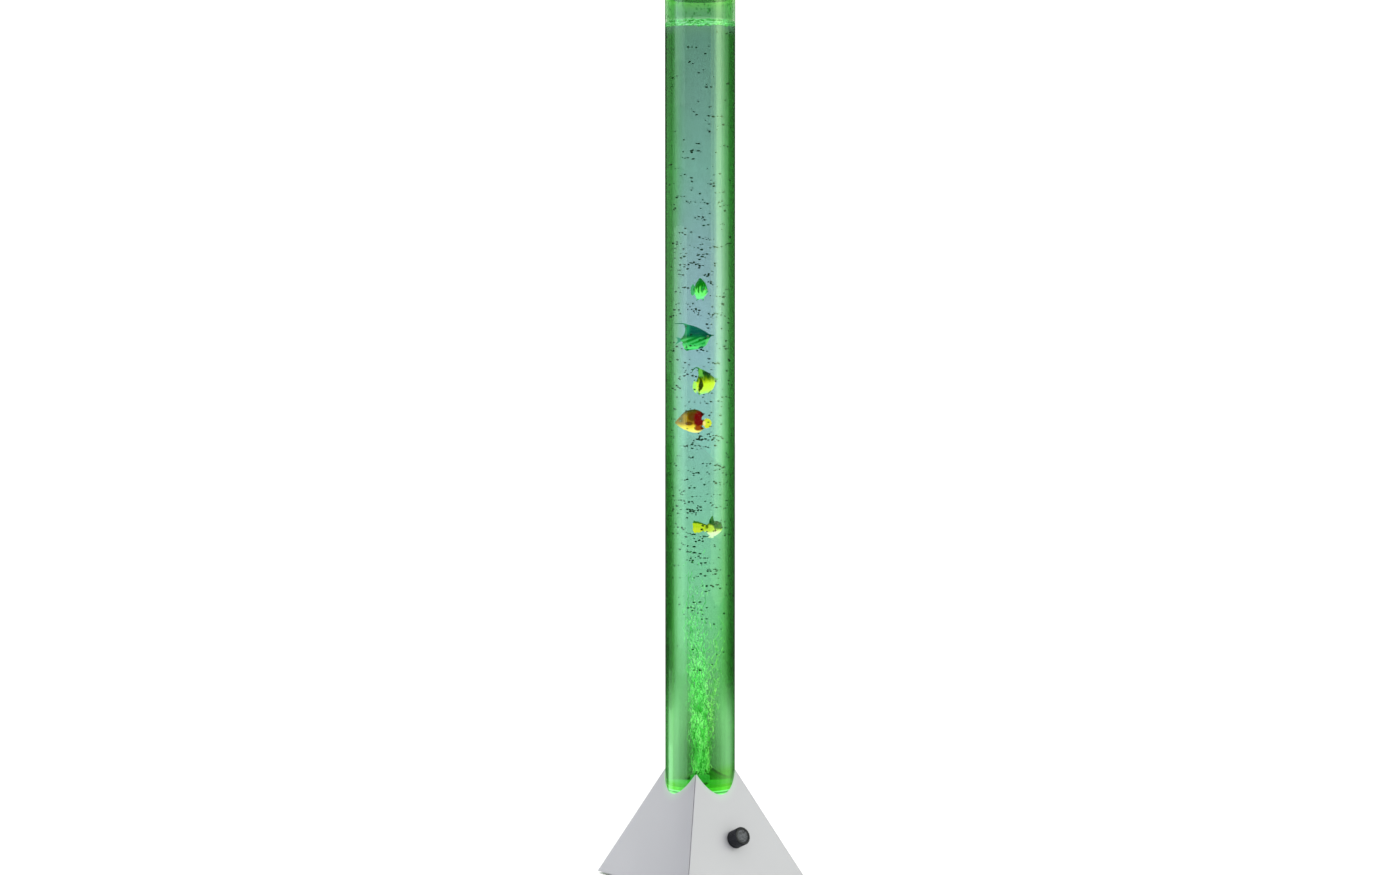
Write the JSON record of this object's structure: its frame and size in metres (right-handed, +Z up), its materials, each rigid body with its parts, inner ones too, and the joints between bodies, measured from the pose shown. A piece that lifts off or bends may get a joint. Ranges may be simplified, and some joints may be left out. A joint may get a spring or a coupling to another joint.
{
  "type": "bubble tube floor lamp",
  "caption": "Tall clear water-filled tube with rising bubbles and drifting fish, lit from below, standing in a square pyramid base with a rotary knob.",
  "frame": {"origin": "centre of the square footprint, on the floor under the rubber feet", "axes": "+Z up along the tube, -Y out of the side of the base that carries the knob, +X to the right seen from the knob's side"},
  "size_m": [0.2, 0.2, 1.2],
  "materials": {
    "painted_sheet": "satin powder coat, light grey",
    "dark_plate": "matt black",
    "rubber_black": "matt",
    "zinc_steel": "zinc plated",
    "abs_black": "moulded",
    "acrylic_tube": "clear, polished",
    "acrylic_plug": "clear, polished",
    "nylon": "natural",
    "bubble_stone": "porous",
    "white_plastic": "moulded",
    "board_white": "solder resist",
    "light_chip": "lit green",
    "silicone_hose": "translucent",
    "valve_blue": "moulded",
    "pump_grey": "moulded",
    "core_iron": "laminated",
    "coil_copper": "enamelled winding",
    "magnet_dark": "sintered",
    "board_green": "solder resist",
    "parts_black": "moulded",
    "standoff_brass": "turned",
    "shaft_aluminium": "turned",
    "knob_black": "fluted, satin",
    "wire_black": "sleeved",
    "wire_white": "sleeved",
    "lid_grey": "satin, light grey",
    "fish_green": "painted",
    "fish_teal": "painted",
    "fish_yellow": "painted",
    "fish_orange": "painted",
    "fish_lime": "painted"
  },
  "bodies": {
    "root": {"base_cover": "painted_sheet", "bottom_plate": "dark_plate", "rubber_feet": "rubber_black", "cover_screws": "zinc_steel", "weld_nuts": "zinc_steel", "tube_socket": "abs_black", "socket_screws": "zinc_steel", "tube_cushion": "rubber_black", "clear_tube": "acrylic_tube", "tube_plug": "acrylic_plug", "air_nipple": "nylon", "nipple_seal": "rubber_black", "nipple_nut": "nylon", "air_stone": "bubble_stone", "led_carrier": "white_plastic", "led_board": "board_white", "leds": "light_chip", "led_screws": "zinc_steel", "hose_to_valve": "silicone_hose", "hose_to_tube": "silicone_hose", "check_valve": "valve_blue", "valve_cradle": "abs_black", "pump_housing": "pump_grey", "pump_lid": "pump_grey", "pump_mounts": "rubber_black", "pump_core": "core_iron", "pump_coil": "coil_copper", "pump_diaphragm": "rubber_black", "pump_valve_box": "pump_grey", "control_board": "board_green", "board_parts": "parts_black", "board_standoffs": "standoff_brass", "potentiometer": "zinc_steel", "pot_nut": "zinc_steel", "dc_jack": "abs_black", "jack_nut": "zinc_steel", "wire_jack": "wire_black", "wire_pump": "wire_black", "wire_leds": "wire_white", "wire_pot": "wire_white"},
    "knob": {"control_knob": "knob_black", "pot_shaft": "shaft_aluminium"},
    "pump_arm": {"pump_lever": "nylon", "pump_magnet": "magnet_dark"},
    "lid_part": {"lid": "lid_grey", "lid_seal": "rubber_black"},
    "swimmer_1": {"fish_1": "fish_green"},
    "swimmer_2": {"fish_2": "fish_teal"},
    "swimmer_3": {"fish_3": "fish_yellow"},
    "swimmer_4": {"fish_4": "fish_orange"},
    "swimmer_5": {"fish_5": "fish_lime"}
  },
  "joints": [
    {"name": "knob_turn", "type": "hinge", "parent": "root", "child": "knob", "pos_m": [0, -0.07373, 0.06], "axis": [0, -0.9082, 0.4185], "range_deg": [-105, 195]},
    {"name": "pump_swing", "type": "hinge", "parent": "root", "child": "pump_arm", "pos_m": [-0.06647, 0.03253, 0.0195], "axis": [0, 0, 1], "range_deg": [-1.5, 1.5]},
    {"name": "lid_lift", "type": "slide", "parent": "root", "child": "lid_part", "axis": [0, 0, 1], "range_m": [0, 0.04]},
    {"name": "fish_1_drift", "type": "slide", "parent": "root", "child": "swimmer_1", "axis": [0, 0, 1], "range_m": [-0.011, 0.33]},
    {"name": "fish_2_drift", "type": "slide", "parent": "root", "child": "swimmer_2", "axis": [0, 0, 1], "range_m": [-0.007, 0.012]},
    {"name": "fish_3_drift", "type": "slide", "parent": "root", "child": "swimmer_3", "axis": [0, 0, 1], "range_m": [-0.006, 0.007]},
    {"name": "fish_4_drift", "type": "slide", "parent": "root", "child": "swimmer_4", "axis": [0, 0, 1], "range_m": [-0.052, 0.007]},
    {"name": "fish_5_drift", "type": "slide", "parent": "root", "child": "swimmer_5", "axis": [0, 0, 1], "range_m": [-0.3, 0.052]}
  ]
}
